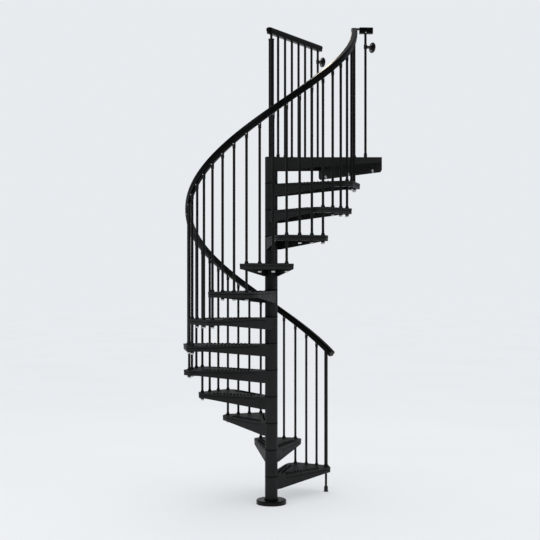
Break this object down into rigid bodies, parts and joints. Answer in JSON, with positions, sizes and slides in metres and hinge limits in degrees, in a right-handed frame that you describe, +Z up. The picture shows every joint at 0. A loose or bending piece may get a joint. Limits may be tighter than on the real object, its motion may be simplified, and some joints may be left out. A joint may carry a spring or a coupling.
{
  "type": "spiral staircase",
  "caption": "Steel kit spiral staircase: hub column on a round base, wedge treads with side flanges, helical handrail on thin balusters, and a guarded triangular landing.",
  "frame": {"origin": "centre of the base plate's underside, on the stair's axis, at floor level", "axes": "+Z up along the column; +X along the landing's centreline towards the wall that carries it; the stair climbs counter-clockwise seen from above"},
  "size_m": [1.4458, 1.4215, 3.835],
  "materials": {
    "steel": "fine-textured satin black powder coat",
    "baluster_steel": "satin black powder coat",
    "handrail": "soft-gloss black",
    "plastic_trim": "matt black",
    "bracket_steel": "gloss black",
    "zinc_fixings": "bright zinc-plated nuts, bolts and screws"
  },
  "bodies": {
    "root": {"base_plate": "steel", "centre_pole": "steel", "tread_01": "steel", "tread_02": "steel", "tread_03": "steel", "tread_04": "steel", "tread_05": "steel", "tread_06": "steel", "tread_07": "steel", "tread_08": "steel", "tread_09": "steel", "tread_10": "steel", "tread_11": "steel", "tread_12": "steel", "landing_platform": "steel", "landing_wall_plate": "steel", "start_newel": "baluster_steel", "landing_newel": "baluster_steel", "landing_balusters": "baluster_steel", "side_baluster": "baluster_steel", "balusters_steps_1_2": "baluster_steel", "balusters_steps_3_4": "baluster_steel", "balusters_steps_5_6": "baluster_steel", "balusters_steps_7_8": "baluster_steel", "balusters_steps_9_10": "baluster_steel", "balusters_steps_11_12": "baluster_steel", "handrail_part_1": "handrail", "handrail_part_2": "handrail", "handrail_part_3": "handrail", "handrail_part_4": "handrail", "handrail_part_5": "handrail", "handrail_part_6": "handrail", "landing_handrail": "handrail", "side_handrail": "handrail", "hub_spacers": "plastic_trim", "newel_foot": "plastic_trim", "baluster_collars": "plastic_trim", "rail_ferrules": "plastic_trim", "landing_sockets": "plastic_trim", "handrail_link": "plastic_trim", "wall_bracket_far": "bracket_steel", "wall_bracket_near": "bracket_steel"}
  },
  "joints": []
}
